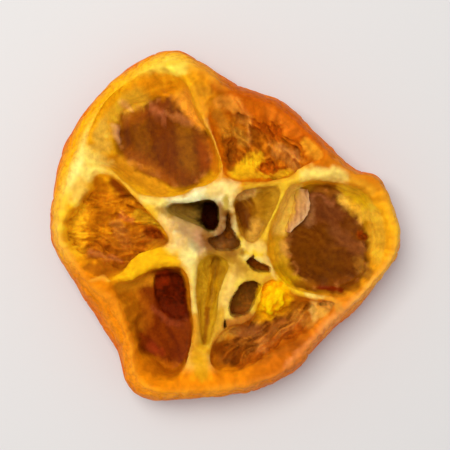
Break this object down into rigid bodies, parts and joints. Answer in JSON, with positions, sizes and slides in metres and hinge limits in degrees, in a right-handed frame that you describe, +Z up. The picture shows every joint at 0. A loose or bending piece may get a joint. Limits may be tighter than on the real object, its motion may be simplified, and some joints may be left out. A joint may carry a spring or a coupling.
{
  "type": "dried calamondin slice",
  "caption": "Dried cross-cut slice of a small sour orange, with a curled ring of peel, segment skins and sunken dried pulp.",
  "frame": {"origin": "centre of the slice's bounding box in plan, on the surface that the slice lies on", "axes": "+Z up out of the cut face that the picture shows, +Y towards the top of the picture, +X to its right"},
  "size_m": [0.0366, 0.0367, 0.008],
  "materials": {
    "dried_calamondin": "waxy dried peel, translucent golden skins and brown dried pulp"
  },
  "bodies": {
    "root": {"calamondin_slice": "dried_calamondin"}
  },
  "joints": []
}
